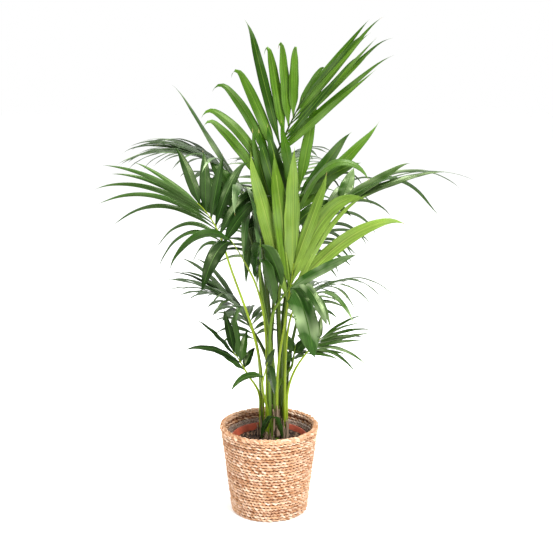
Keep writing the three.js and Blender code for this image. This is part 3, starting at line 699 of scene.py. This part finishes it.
def make_stem(name, seed, skins):
    x, y, radius, height = SEEDLINGS[name]
    shape = Shape()
    rings, uvs = [], []
    angles = angles_round(STEM.sides)
    for t in shares(STEM.steps):
        z = mix(SOIL.top - STEM.sunk, SOIL.top + height, t)
        rings.append([polar(radius * stem_share(a, t, seed), a, z, x, y) for a in angles])
        uvs.extend((seed * 11 + abs(a - pi) * radius / 10, z / 100) for a in angles)
    shape.add(rings, 0, uvs)
    for k in range(HUSK.count):
        add_husk(shape, SEEDLINGS[name], seed, k)
    shape.piece(f"stem_{name}_sheaths", skins, f"stem_{name}", "sheath")


# Basket
# inset: how far a row lies inside the basket's outline. out and up: how far it twines.
# Each strand is two finer ones, apart from its middle, that turn round it now and then.
WEAVE = Sizes(
    rows=27, first=4.6, pitch=7.9, twists=33, out=2.5, up=1.5, inset=5.2,
    strand=1.65, apart=0.9, turns=7,
)
# The rows of the rim: heights, and how far each lies inside the outline.
RIM_ROWS = [(222.2, 5), (222, 9), (217.6, 3.2), (216.4, 10), (219.5, 7)]
STRAND = Sizes(sides=7, per_twist=8, lobes=3, lobe=0.12, turns=61, stretches=61, swell=0.11)
FOOT = Sizes(inset=14, strand=3.6, pitch=8.6, z=5.4, out=1.9, up=1.5, inner=6, twist=5)
# The dark core inside the weave, partly warp and partly painted shade in its holes: its lowest and
# highest places, and how far its two sides lie inside the outline.
CORE_SPAN, CORE_INSETS, CORE_STEPS, CORE_SIDES = (4, 217), (5.2, 6.8), 12, 72
WISPS = Sizes(count=46, low=40, high=220, inset=1.5, radius=0.5, steps=5, stands=2.6)


def basket_radius(z):
    return mix(BASKET.foot_radius, BASKET.top_radius, z / BASKET.height)


def wander(angles, seed, waves, size):
    """A slow wander round a ring."""
    total = np.zeros_like(angles)
    for k in range(1, waves + 1):
        total += np.sin(k * angles + tau * draw(seed, k)) * (draw(seed, 90 + k) - 0.5)
    return total * size


def stretches(count, seed, kinds):
    """A material number for each face of a ring, in stretches along it."""
    share = STRAND.stretches / count
    numbers = [int(draw(seed + 0.37 * int(k * share), 4) * kinds) for k in range(count)]
    return [kind for kind in numbers for _ in range(STRAND.sides)]


def unit(vectors):
    return vectors / np.linalg.norm(vectors, axis=1)[:, None]


def add_ring(shape, radius, z, twining, start, seed, kinds, ply=None):
    """One twisted strand that twines round the basket. ply sets it off to a side."""
    count = twining.twists * STRAND.per_twist
    angle = np.arange(count) * tau / count
    phase = twining.twists * angle + start + wander(angle, seed, 9, 0.4)
    middle = radius + twining.out * np.cos(phase) + wander(angle, seed + 0.3, 14, 0.5)
    height = z - twining.up * np.sin(phase) + wander(angle, seed + 0.6, 12, 0.6)
    if ply is not None:
        aside = ply + twining.turns * angle + wander(angle, seed + 0.2, 8, 1.5)
        middle += twining.apart * np.cos(aside)
        height += twining.apart * np.sin(aside)
    path = np.stack([middle * np.cos(angle), middle * np.sin(angle), height], 1)
    ahead = unit(np.roll(path, -1, 0) - np.roll(path, 1, 0))
    outwards = np.stack([np.cos(angle), np.sin(angle), np.zeros(count)], 1)
    outwards = unit(outwards - ahead * np.einsum("ij,ij->i", outwards, ahead)[:, None])
    turn = np.arange(STRAND.sides) * tau / STRAND.sides
    swell = 1 + wander(angle, seed + 0.9, 31, STRAND.swell)
    twisted = STRAND.lobes * (turn[None, :] + STRAND.turns * angle[:, None])
    size = twining.strand * swell[:, None] * (1 + STRAND.lobe * np.cos(twisted))
    rings = (
        path[:, None, :]
        + outwards[:, None, :] * (size * np.cos(turn))[..., None]
        + np.cross(ahead, outwards)[:, None, :] * (size * np.sin(turn))[..., None]
    )
    rings[..., 2] = np.maximum(rings[..., 2], 0.1)
    across = np.tile(np.sin(turn + 0.4) * twining.strand / 10, count)
    along = np.repeat(angle * radius / 100, STRAND.sides)
    uvs = np.stack([across + seed * 5.7, along], -1)
    shape.add(rings, stretches(count, seed, kinds), uvs, loop=True)


def add_row(shape, inset, z, row, skins):
    """A twined row: two strands that cross over and under, each of two finer ones."""
    start = pi / 2 * row + 0.6 * draw(row, 100)
    for k in range(4):
        seed, ply = 200 + 4 * row + k // 2, pi * (k % 2) + row
        add_ring(shape, basket_radius(z) - inset, z, WEAVE, start + pi * (k // 2), seed, len(skins), ply)


def make_basket(skins, warp_and_shade):
    third = WEAVE.rows // 3
    rows = [(WEAVE.inset, WEAVE.first + k * WEAVE.pitch, k) for k in range(WEAVE.rows)]
    rim = [(inset, z, 50 + k) for k, (z, inset) in enumerate(RIM_ROWS)]
    for k, name in enumerate(("wall_lower", "wall_middle", "wall_upper", "rim")):
        shape = Shape()
        for row in rows[k * third:][:third] or rim:
            add_row(shape, *row, skins)
        shape.piece("basket_" + name, skins, "basket", "seagrass")
    make_foot(skins)
    make_core(warp_and_shade)
    make_wisps(skins)


def make_foot(skins):
    """The coiled rows of the basket's floor."""
    shape = Shape()
    radius = BASKET.foot_radius - FOOT.inset
    row = 0
    while radius > FOOT.inner:
        twining = Sizes(**vars(FOOT), twists=max(3, round(radius / FOOT.twist)))
        for k in range(2):
            add_ring(shape, radius, FOOT.z, twining, pi * k + row, 400 + 2 * row + k, len(skins))
        radius -= FOOT.pitch
        row += 1
    shape.piece("basket_foot", skins, "basket", "seagrass")


def make_core(warp_and_shade):
    """A dark sheet inside the weave, seen through its holes: partly the warp, partly painted shade."""
    up = list(np.linspace(*CORE_SPAN, CORE_STEPS))
    levels = [(basket_radius(z) - inset, z) for inset, run in zip(CORE_INSETS, (up, up[::-1])) for z in run]
    Shape().add(lathe(levels, CORE_SIDES), loop=True).piece("basket_core", [warp_and_shade], "basket", "seagrass")


def add_fibre(shape, points, radius, material, seed):
    """A thin strand that tapers along its points."""
    sides, count = 5, len(points)
    radii = [radius * (1 - 0.6 * k / (count - 1)) for k in range(count)]
    rings = tube([Vector(p) for p in points], radii, [polar(1, a)[:2] for a in angles_round(sides)])
    shape.add(rings, material, [(seed + i / 10, k / 10) for k in range(count) for i in range(sides)])


def make_wisps(skins):
    """Loose ends of grass."""
    shape = Shape()
    for k in range(WISPS.count):
        around = tau * draw(k, 500)
        z = mix(WISPS.low, WISPS.high, draw(k, 501) ** 0.4)
        radius = basket_radius(z) - WISPS.inset
        length = mix(6, 17, draw(k, 502))
        drift = (draw(k, 503) - 0.5) * 1.6
        points = []
        for s in shares(WISPS.steps):
            lifted = radius + WISPS.stands * sin(pi * 0.8 * s)
            high = min(BASKET.height - 1, z + length * 0.5 * s * draw(k, 504))
            points.append(polar(lifted, around + drift * s * length / radius, high))
        add_fibre(shape, points, WISPS.radius, k % len(skins), k)
    shape.piece("basket_wisps", skins, "basket", "seagrass")


# Film, pot and soil
FILM = Sizes(wall=0.5, sides=220, steps=44, ruck=3.2, sharp=2.4, fine=1.2, lip=5, gap=0.6)
GROUND = Sizes(sides=132, rings=46, gap=0.4, foot_gap=1.5, waist=90, waist_gap=0.8, sinks=1.2)
BITS = Sizes(count=700, edge=5, small=1, large=4.6)
BIT_RINGS = ((-0.8, 0.5), (-0.3, 1), (0.35, 0.9), (0.8, 0.4))
FIBRES = Sizes(count=90, edge=12, short=5, long=16, radius=0.45, steps=5, lies=0.9, bows=0.8)


def film_radius(around, z):
    """The film's radius: against the basket's inside, with rucks that point inwards."""
    broad = bumps(*polar(5, around, z * 0.03))
    sharp = abs(bumps(*polar(13, around, z * 0.07 + 7)))
    fine = abs(bumps(*polar(30, around, z * 0.16 + 3)))
    clear = basket_radius(z) - BASKET.wall - FILM.gap
    return clear - FILM.ruck * (0.5 + 0.5 * broad) - FILM.sharp * sharp - FILM.fine * fine


def make_film(look):
    rings = []
    up = shares(FILM.steps)
    for wall, levels in ((0, up), (FILM.wall, up[::-1])):
        for t in levels:
            rings.append([])
            for around in angles_round(FILM.sides):
                lip = LINER.lip - 3 + FILM.lip * bumps(*polar(3, around, 2))
                z = mix(LINER.bottom + 3, lip, t)
                rings[-1].append(polar(film_radius(around, z) - wall, around, z))
    Shape().add(rings, loop=True).piece("liner_film", [look], "liner", "clear_film")


def make_pot(look):
    """A thin moulded pot with a stepped, rounded rim."""
    top, rim, wall = POT.top, POT.rim, POT.wall
    low, foot, body = POT.floor, POT.foot, POT.body
    below = top - POT.rim_height
    profile = [
        (foot - 3, low), (foot - 0.6, low + 0.8), (foot, low + 3), (body, below - 0.6),
        (body + 1, below), (rim - 0.9, below + 0.4), (rim - 0.3, below + 1.2), (rim, top - 1.6),
        (rim - 0.4, top - 0.4), (rim - 1.2, top), (rim - 1.9, top - 0.3), (rim - wall - 0.2, top - 1.4),
        (body - wall + 1.2, below - 1), (foot - wall, low + wall + 2), (foot - wall - 3, low + wall),
    ]
    shell = Shape().add(lathe(profile, 128))
    shell.piece("grow_pot_shell", [look], "grow_pot", "terracotta_plastic")


def pot_inside(z):
    """The radius of the pot's inside at a height."""
    share = (z - POT.floor) / (POT.top - POT.rim_height - POT.floor)
    return mix(POT.foot, POT.body, share) - POT.wall


def soil_height(x, y):
    """The height of the mix's lumpy surface."""
    plateau = SOIL.plateau
    beyond = (hypot(x, y) - plateau) / (pot_inside(SOIL.top) - plateau)
    lumps = 2.6 * bumps(x * 0.09, y * 0.09, 1) + 0.03 * x
    grains = 2.2 * bumps(x * 0.28, y * 0.28, 5)
    crumbs = 1.1 * bumps(x * 0.8, y * 0.8, 9)
    return SOIL.top - SOIL.edge_drop * smoothly(beyond) - GROUND.sinks + lumps + grains + crumbs


def make_soil(look):
    sides, count = GROUND.sides, GROUND.rings
    edge = pot_inside(SOIL.top - SOIL.edge_drop) - GROUND.gap
    low, waist = POT.floor + POT.wall + 2, GROUND.waist
    foot = [(pot_inside(low) - GROUND.foot_gap, low), (pot_inside(waist) - GROUND.waist_gap, waist)]
    rings = lathe(foot, sides)
    for k in range(count):
        flat = [polar(edge * (1 - k / count), around) for around in angles_round(sides)]
        rings.append([(x, y, soil_height(x, y)) for x, y, z in flat])
    surface = Shape().add(rings, tip=(0, 0, soil_height(0, 0)))
    surface.piece("soil_surface", [look], "soil", "potting_mix")


def spot(k, first, edge):
    """A place on the mix drawn for a bit, at least edge from the pot."""
    reach = (pot_inside(SOIL.top) - edge) * sqrt(draw(k, first))
    return polar(reach, tau * draw(k, first + 1))[:2]


def make_soil_bits(skins):
    """Crumbs, bark chips and root fibres on the mix."""
    shape = Shape()
    for k in range(BITS.count):
        x, y = spot(k, 600, BITS.edge)
        size = mix(BITS.small, BITS.large, draw(k, 602) ** 2)
        centre = Vector((x, y, soil_height(x, y) + size * 0.35))
        axis = Vector((draw(k, 604), draw(k, 605), 0.5)).normalized()
        spin = Matrix.Rotation(6.3 * draw(k, 603), 3, axis)
        rings = []
        for level, share in BIT_RINGS:
            rings.append([])
            for i, angle in enumerate(angles_round(6)):
                lump = size * share * mix(0.75, 1.25, draw(k * 7 + i, 606))
                place = (lump * cos(angle), lump * 0.8 * sin(angle), level * size * 0.7)
                rings[-1].append(centre + spin @ Vector(place))
        shape.add(rings, int(draw(k, 607) * 2), [(k, 0)] * 24)
    for k in range(FIBRES.count):
        east, north = spot(k, 610, FIBRES.edge)
        length = mix(FIBRES.short, FIBRES.long, draw(k, 613))
        points = []
        for t in shares(FIBRES.steps):
            s = t - 0.5
            turn = tau * draw(k, 612) + s * 2 * (draw(k, 614) - 0.5)
            x, y = east + length * s * cos(turn), north + length * s * sin(turn)
            points.append((x, y, soil_height(x, y) + FIBRES.lies + FIBRES.bows * cos(3 * s)))
        add_fibre(shape, points, FIBRES.radius, 2, k)
    shape.piece("soil_bits", skins, "soil", "potting_mix")


# Materials
WHITE = (255, 255, 255)


def linear(colour):
    """A display colour from 0 to 255 as Blender's linear colour."""
    return tuple(((c / 255 + 0.055) / 1.055) ** 2.4 if c > 10 else c / 3295 for c in colour)


def shade(colour, factor):
    return tuple(min(255, c * factor) for c in colour)


class Nodes:
    """A material's nodes, with short ways to add and link them."""

    def __init__(self, name, gloss, tint=(1, 1, 1, 1), alpha=1):
        self.material = bpy.data.materials.new(name)
        self.material.use_nodes = True
        self.tree = self.material.node_tree
        self.link = self.tree.links.new
        self.shader = self.tree.nodes["Principled BSDF"]
        sockets = ("Roughness", "Specular IOR Level", "Alpha", "Specular Tint")
        for socket, value in zip(sockets, (*gloss, alpha, tint)):
            self.shader.inputs[socket].default_value = value

    def add(self, kind, **settings):
        node = self.tree.nodes.new("ShaderNode" + kind)
        for key, value in settings.items():
            if key in node.inputs:
                node.inputs[key].default_value = value
            else:
                setattr(node, key, value)
        return node

    def noise(self, scale, detail):
        """A noise over the object's space, or over its grain map where scale has two numbers."""
        flat = len(scale) == 2
        source = self.add("UVMap", uv_map="grain") if flat else self.add("TexCoord")
        mapping = self.add("Mapping", Scale=(*scale, 1)[:3])
        texture = self.add("TexNoise", Scale=1.0, Detail=detail)
        self.link(source.outputs["UV" if flat else "Object"], mapping.inputs["Vector"])
        self.link(mapping.outputs["Vector"], texture.inputs["Vector"])
        return texture.outputs["Fac"]

    def ramp(self, source, places, colours):
        """A colour ramp over a source, from places and display colours."""
        node = self.add("ValToRGB")
        elements = node.color_ramp.elements
        while len(elements) < len(places):
            elements.new(0.5)
        for element, place, colour in zip(elements, places, colours):
            element.position = place
            element.color = (*linear(colour), 1)
        self.link(source, node.inputs["Fac"])
        return node.outputs["Color"]

    def blend(self, factor, a, b, kind="MIX"):
        node = self.add("Mix", data_type="RGBA", blend_type=kind)
        for socket, value in ((node.inputs[0], factor), (node.inputs[6], a), (node.inputs[7], b)):
            if isinstance(value, float):
                socket.default_value = value
            elif isinstance(value, tuple):
                socket.default_value = (*linear(value), 1)
            else:
                self.link(value, socket)
        return node.outputs[2]

    def finish(self, colour, source=None, strength=0, height=0):
        """Links the colour and the bumps, with their strength and height."""
        self.link(colour, self.shader.inputs["Base Color"])
        if source:
            node = self.add("Bump", Strength=strength, Distance=height * MM)
            self.link(source, node.inputs["Height"])
            self.link(node.outputs["Normal"], self.shader.inputs["Normal"])
        return self.material


def material(name, gloss, grain, places, colours, bump=None, veil=None, **more):
    """A skin whose colours and bumps follow one noise. A second one, veil, darkens its colours."""
    nodes = Nodes(name, gloss, **more)
    fine = nodes.noise(*grain)
    colour = nodes.ramp(fine, places, colours)
    if veil:
        colour = nodes.blend(1.0, colour, nodes.ramp(nodes.noise(*veil[0]), *veil[1:]), "MULTIPLY")
    return nodes.finish(colour, fine, *bump) if bump else nodes.finish(colour)


def plain(name, colour, roughness, spread=0.12):
    """A colour that a noise shifts a little."""
    colours = [shade(colour, 1 - spread), shade(colour, 1 + spread)]
    return material(name, (roughness, 0.5), ((60, 60, 60), 4.0), (0.3, 0.7), colours, (0.2, 0.5))


def leaf_material(name, colour, gloss, painted_sheen):
    """A leaf's skin: fine veins, a painted sheen in pale streaks, and slow shifts of green."""
    nodes = Nodes(name, gloss, (0.5, 0.62, 0.3, 1))
    veins = nodes.noise((34, 0.5), 2.0)
    green = nodes.ramp(veins, (0.3, 0.5, 0.7), [shade(colour, 0.9), colour, shade(colour, 1.12)])
    greys = [(176, 176, 176), (228, 228, 228), WHITE]
    streaks = nodes.ramp(nodes.noise((5, 0.4), 3.0), (0.3, 0.5, 0.66), greys)
    patches = nodes.ramp(nodes.noise((9, 9, 9), 3.0), (0.35, 0.65), [(200, 210, 196), (255, 255, 250)])
    for veil in (streaks, patches):
        green = nodes.blend(1.0, green, veil, "MULTIPLY")
    # Painted sheen: a broad noise mixes a pale grey green into the green, standing for reflected light.
    sheen = nodes.ramp(nodes.noise((0.16, 0.9), 2.0), (0.46, 0.74), [(0, 0, 0), (painted_sheen, painted_sheen, painted_sheen)])
    return nodes.finish(nodes.blend(sheen, green, (160, 180, 132)), veins, 0.25, 0.4)


def sheath_material():
    """A stem's sheaths: olive green, dry brown in patches, with fibres along them."""
    nodes = Nodes("sheath_skin", (0.55, 0.4))
    fibres = nodes.noise((6, 0.3), 4.0)
    green = nodes.ramp(fibres, (0.25, 0.55, 0.8), [(44, 66, 12), (76, 102, 22), (122, 144, 48)])
    dry = nodes.ramp(fibres, (0.25, 0.55, 0.8), [(84, 66, 52), (122, 102, 82), (168, 150, 128)])
    mask = nodes.ramp(nodes.noise((70, 70, 22), 4.0), (0.46, 0.54), [(0, 0, 0), WHITE])
    return nodes.finish(nodes.blend(mask, green, dry), fibres, 0.5, 0.8)


def stalk_material(name, tones):
    """A stalk's skin: smooth green with faint streaks."""
    veil = (((14, 14, 5), 3.0), (0.3, 0.6), [(206, 214, 190), WHITE])
    tint = (0.7, 0.8, 0.3, 1)
    return material(
        "stalk_" + name, (0.3, 0.5), ((5, 0.25), 3.0), (0.25, 0.5, 0.75), tones, (0.3, 0.5), veil, tint=tint
    )


def grass_material(name, tones):
    """Dried seagrass: fibres along it, in stretches of differing tan."""
    veil = (((0.8, 0.9), 2.0), (0.3, 0.5, 0.7), tones)
    colours = [(150, 98, 60), (234, 212, 192), WHITE]
    return material(name, (0.62, 0.35), ((7, 0.35), 4.0), (0.3, 0.5, 0.72), colours, (0.6, 0.8), veil)


# The whole plant
def make_planter():
    grass = [
        grass_material("seagrass_gold", [(186, 146, 112), (216, 189, 162), (238, 220, 206)]),
        grass_material("seagrass_tan", [(168, 124, 86), (206, 172, 138), (230, 206, 182)]),
        grass_material("seagrass_pale", [(202, 170, 142), (232, 212, 192), (248, 240, 232)]),
    ]
    # The core is dark brown: partly the warp's colour, partly painted shade in the holes of the weave.
    make_basket(grass, plain("basket_warp", (104, 60, 32), 0.9))
    film = [(120, 104, 92), (186, 172, 160)]
    make_film(material("clear_film", (0.16, 0.7), ((30, 30, 30), 3.0), (0.35, 0.65), film, alpha=0.4))
    make_pot(plain("terracotta_plastic", (168, 78, 54), 0.45, 0.08))
    browns = [(24, 17, 13), (50, 37, 29), (94, 72, 56)]
    grain = ((190, 190, 190), 6.0)
    make_soil(material("potting_mix", (0.95, 0.2), grain, (0.3, 0.55, 0.75), browns, (0.9, 2)))
    make_soil_bits([
        plain("soil_crumb", (52, 38, 30), 0.95, 0.4),
        plain("bark_chip", (104, 80, 62), 0.9, 0.3),
        plain("root_fibre", (150, 122, 96), 0.85, 0.25),
    ])


def make_plant():
    stalks = {name: stalk_material(name, tones) for name, (tones, stout) in STALK_TONES.items()}
    papers = [(88, 70, 56), (132, 112, 92), (178, 160, 138)]
    husk = material("husk_paper", (0.8, 0.25), ((8, 0.3), 4.0), (0.25, 0.5, 0.75), papers, (0.5, 0.6))
    stem_skins = [sheath_material(), husk]
    brown = plain("leaf_dry_tip", (118, 104, 54), 0.7, 0.25)
    skins = {}
    for group, (upper, rib, lower, gloss, painted_sheen) in GREENS.items():
        name = f"leaf_{group}_"
        skins[group] = [leaf_material(f"{name}{k}", colour, gloss, painted_sheen) for k, colour in enumerate(upper)]
        skins[group].append(leaf_material(name + "rib", rib, gloss, 0))
        skins[group].append(leaf_material(name + "lower", lower, LOWER_GLOSS, 0))
        skins[group].append(brown)
    for number, name in enumerate(SEEDLINGS):
        make_stem(name, number + 1, stem_skins)
    for frond in FRONDS:
        make_leaflets(frond, skins[frond.group])
        make_petiole(frond, stalks[frond.tone])


# Each lamp: its name, place, power in watts and size.
LAMPS = [
    ("key_lamp", (1.7, -2.3, 3.0), 170, 1.2), ("fill_lamp", (-2.6, -1.4, 2.4), 18, 1.4),
    ("top_lamp", (-0.3, 0.2, 3.4), 150, 1.6),
]
LAMPS_AIM = Vector((0, 0, 0.55))
CAMERA = Sizes(focal_px=1050, frame_px=553, place=(0.018, -2.5, 1.165), pitch=12.65)


def make_stage():
    """A pale floor, a white world and soft lamps."""
    bpy.ops.mesh.primitive_plane_add(size=30, location=(0, 0, 0))
    ground = bpy.context.object
    ground.name = "floor"
    nodes = Nodes("floor_white", (0.9, 0.5))
    nodes.shader.inputs["Base Color"].default_value = (1, 1, 1, 1)
    ground.data.materials.append(nodes.material)
    world = bpy.data.worlds.new("white_room")
    bpy.context.scene.world = world
    world.use_nodes = True
    background = world.node_tree.nodes["Background"]
    background.inputs["Color"].default_value = (1, 1, 1, 1)
    background.inputs["Strength"].default_value = 1.0
    for name, place, power, size in LAMPS:
        lamp = bpy.data.lights.new(name, "AREA")
        lamp.shape = "DISK"
        lamp.size = size
        lamp.energy = power
        away = LAMPS_AIM - Vector(place)
        placed(name, lamp, place, away.to_track_quat("-Z", "Y").to_euler())


def make_camera():
    camera = bpy.data.cameras.new("photo_camera")
    camera.sensor_width = 36
    camera.lens = CAMERA.focal_px * camera.sensor_width / CAMERA.frame_px
    camera.clip_end = 100
    turn = (radians(90 - CAMERA.pitch), 0, 0)
    bpy.context.scene.camera = placed("photo_camera", camera, CAMERA.place, turn)


bpy.context.scene.view_settings.view_transform = "Standard"
make_camera()
make_stage()
make_planter()
make_plant()
